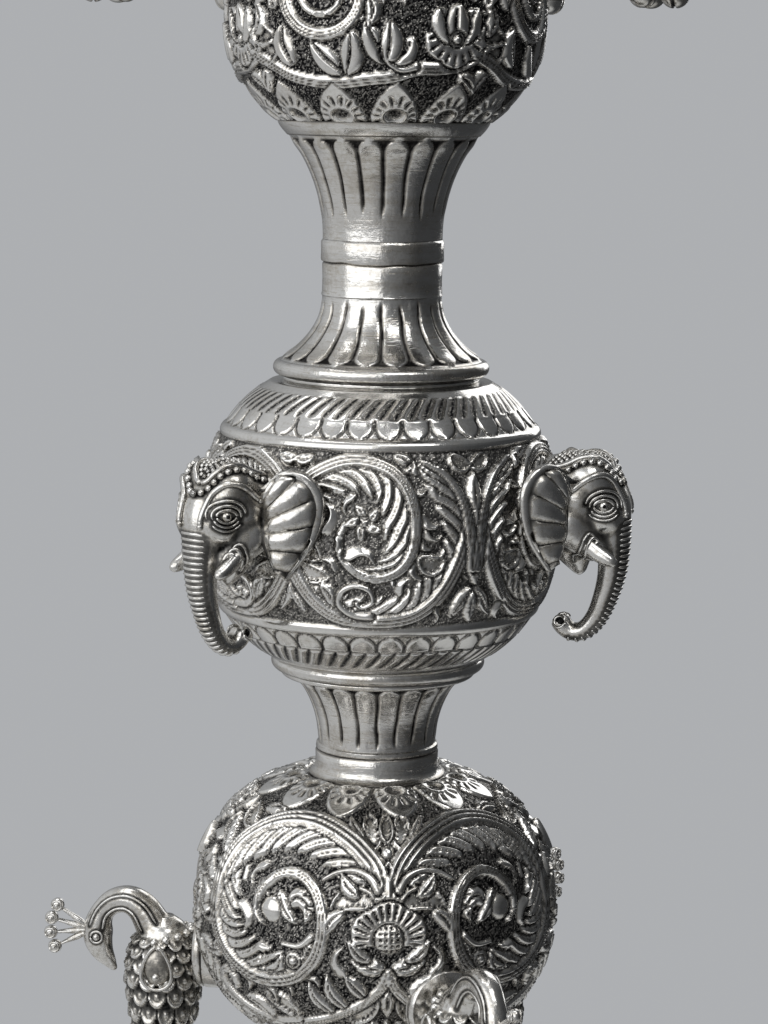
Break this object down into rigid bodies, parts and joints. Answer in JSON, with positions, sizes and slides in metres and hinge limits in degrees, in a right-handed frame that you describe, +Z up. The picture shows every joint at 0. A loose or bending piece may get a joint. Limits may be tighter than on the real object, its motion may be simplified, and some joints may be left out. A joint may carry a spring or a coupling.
{
  "type": "standing oil lamp",
  "caption": "Tall footed oil lamp of stacked chased silver bulbs and fluted necks, with elephant-head and peacock castings, a lipped oil dish, swinging bell bunches and a turning finial.",
  "frame": {"origin": "centre of the underside of the base plate, on the floor", "axes": "+Z up along the lamp's axis, -Y towards the viewer, +X to the viewer's right"},
  "size_m": [0.312, 0.312, 0.8837],
  "materials": {
    "chased_silver": "oxidised silver over raised sheet, bright on the high work and black in the recesses",
    "plain_silver": "worn polished silver with fine scratches",
    "cast_silver": "oxidised silver casting, rubbed bright on the high work",
    "dish_silver": "satin silver",
    "bell_silver": "darkened silver",
    "steel_fixings": "plain steel",
    "iron_plate": "silvered iron weight with a turned edge"
  },
  "bodies": {
    "stand": {"base_plate": "iron_plate", "base_dome": "chased_silver", "pedestal_ring": "plain_silver", "pedestal_neck": "chased_silver", "pedestal_coupling": "plain_silver", "pedestal_cup": "chased_silver", "cup_ring": "plain_silver", "lower_bulb": "chased_silver", "peacock_stubs": "plain_silver", "peacock_front": "cast_silver", "peacock_rear": "cast_silver", "peacock_left": "cast_silver", "peacock_studs": "steel_fixings", "peacock_nuts": "steel_fixings", "lower_foot": "plain_silver", "lower_neck": "chased_silver", "collar_ring": "plain_silver", "elephant_bulb": "chased_silver", "elephant_right": "cast_silver", "elephant_rear": "cast_silver", "elephant_left": "cast_silver", "elephant_studs": "steel_fixings", "elephant_nuts": "steel_fixings", "neck_ring": "plain_silver", "lower_horn": "chased_silver", "neck_coupling": "plain_silver", "upper_horn": "chased_silver", "upper_ring": "plain_silver", "upper_bulb": "chased_silver", "crown_ring": "plain_silver", "crown_neck": "chased_silver", "oil_dish": "dish_silver", "dish_eyes": "bell_silver", "tie_rod": "steel_fixings", "base_washer": "steel_fixings", "base_nut": "steel_fixings", "dish_washer": "steel_fixings", "dish_nut": "steel_fixings", "finial_sleeve": "plain_silver"},
    "bell_bunch_1": {"bell_chain_1": "bell_silver", "jingle_bells_1": "bell_silver"},
    "bell_bunch_2": {"bell_chain_2": "bell_silver", "jingle_bells_2": "bell_silver"},
    "bell_bunch_3": {"bell_chain_3": "bell_silver", "jingle_bells_3": "bell_silver"},
    "bell_bunch_4": {"bell_chain_4": "bell_silver", "jingle_bells_4": "bell_silver"},
    "bell_bunch_5": {"bell_chain_5": "bell_silver", "jingle_bells_5": "bell_silver"},
    "finial": {"finial": "plain_silver"}
  },
  "joints": [
    {"name": "bunch_1_swing", "type": "hinge", "parent": "stand", "child": "bell_bunch_1", "pos_m": [0.10968, -0.03777, 0.77428], "axis": [0.9455, -0.3256, 0], "range_deg": [-30, 30]},
    {"name": "bunch_2_swing", "type": "hinge", "parent": "stand", "child": "bell_bunch_2", "pos_m": [0.06981, 0.09264, 0.77428], "axis": [0.6018, 0.7986, 0], "range_deg": [-30, 30]},
    {"name": "bunch_3_swing", "type": "hinge", "parent": "stand", "child": "bell_bunch_3", "pos_m": [-0.06653, 0.09502, 0.77428], "axis": [-0.5736, 0.8192, 0], "range_deg": [-30, 30]},
    {"name": "bunch_4_swing", "type": "hinge", "parent": "stand", "child": "bell_bunch_4", "pos_m": [-0.11093, -0.03392, 0.77428], "axis": [-0.9563, -0.2924, 0], "range_deg": [-30, 30]},
    {"name": "bunch_5_swing", "type": "hinge", "parent": "stand", "child": "bell_bunch_5", "pos_m": [-0.00202, -0.11598, 0.77428], "axis": [-0.0175, -0.9998, 0], "range_deg": [-30, 30]},
    {"name": "finial_turn", "type": "hinge", "parent": "stand", "child": "finial", "pos_m": [0, 0, 0.7877], "axis": [0, 0, 1], "continuous": true}
  ]
}
